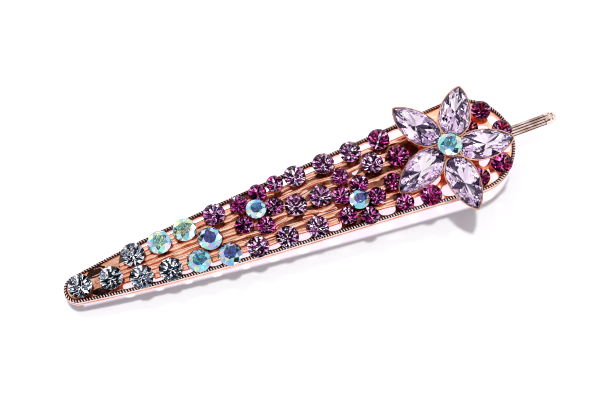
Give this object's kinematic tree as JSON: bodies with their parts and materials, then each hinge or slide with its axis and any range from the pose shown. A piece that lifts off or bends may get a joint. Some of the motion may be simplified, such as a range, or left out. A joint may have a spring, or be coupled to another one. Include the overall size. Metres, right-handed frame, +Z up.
{
  "type": "jewelled hair pin",
  "caption": "Hair pin with a teardrop openwork plate, faceted stones and a stone flower, carried on a sprung pin with a flat leg and a crimped leg.",
  "frame": {"origin": "centre of the small resting flat under the last crimp of the lower leg, on the table", "axes": "+X along the pin from the bend towards the free tip, +Z up from the table, +Y to the left of +X"},
  "size_m": [0.0911, 0.0227, 0.0115],
  "materials": {
    "rose_gold_plate": "polished rose-gold plating",
    "rose_gold_mount": "polished rose-gold plating",
    "rose_gold_strip": "polished rose-gold plating over spring steel",
    "rose_gold_tip": "polished rose-gold plating",
    "clear_stone": "clear faceted crystal, foiled back",
    "aurora_stone": "faceted crystal with an iridescent coat, foiled back",
    "lilac_stone": "light amethyst faceted crystal, foiled back",
    "plum_stone": "dark amethyst faceted crystal, foiled back",
    "fuchsia_stone": "deep fuchsia faceted crystal, foiled back",
    "petal_stone": "pale lilac faceted crystal, foiled back"
  },
  "bodies": {
    "ornament": {"cast_plate": "rose_gold_plate", "flower_mount": "rose_gold_mount", "petal_1": "petal_stone", "petal_2": "petal_stone", "petal_3": "petal_stone", "petal_4": "petal_stone", "petal_5": "petal_stone", "heart_stone": "aurora_stone", "clear_1": "clear_stone", "clear_2": "clear_stone", "clear_3": "clear_stone", "clear_4": "clear_stone", "clear_5": "clear_stone", "aurora_1": "aurora_stone", "aurora_2": "aurora_stone", "aurora_3": "aurora_stone", "aurora_4": "aurora_stone", "aurora_5": "aurora_stone", "aurora_6": "aurora_stone", "aurora_7": "aurora_stone", "lilac_1": "lilac_stone", "lilac_2": "lilac_stone", "lilac_3": "lilac_stone", "lilac_4": "lilac_stone", "lilac_5": "lilac_stone", "lilac_6": "lilac_stone", "lilac_7": "lilac_stone", "lilac_8": "lilac_stone", "lilac_9": "lilac_stone", "lilac_10": "lilac_stone", "plum_1": "plum_stone", "plum_2": "plum_stone", "plum_3": "plum_stone", "plum_4": "plum_stone", "plum_5": "plum_stone", "plum_6": "plum_stone", "plum_7": "plum_stone", "plum_8": "plum_stone", "plum_9": "plum_stone", "plum_10": "plum_stone", "plum_11": "plum_stone", "plum_12": "plum_stone", "fuchsia_1": "fuchsia_stone", "fuchsia_2": "fuchsia_stone", "fuchsia_3": "fuchsia_stone", "fuchsia_4": "fuchsia_stone", "fuchsia_5": "fuchsia_stone", "fuchsia_6": "fuchsia_stone", "fuchsia_7": "fuchsia_stone", "fuchsia_8": "fuchsia_stone", "fuchsia_9": "fuchsia_stone", "fuchsia_10": "fuchsia_stone", "upper_leg": "rose_gold_strip"},
    "crimped_leg": {"lower_leg": "rose_gold_strip", "leg_tip": "rose_gold_tip"}
  },
  "joints": [
    {"name": "bend_spring", "type": "hinge", "parent": "ornament", "child": "crimped_leg", "pos_m": [-0.0565, 0, 0], "axis": [0, 1, 0], "range_deg": [0, 12], "stiffness_Nm_per_rad": 0.2, "springref_deg": -2.86}
  ]
}
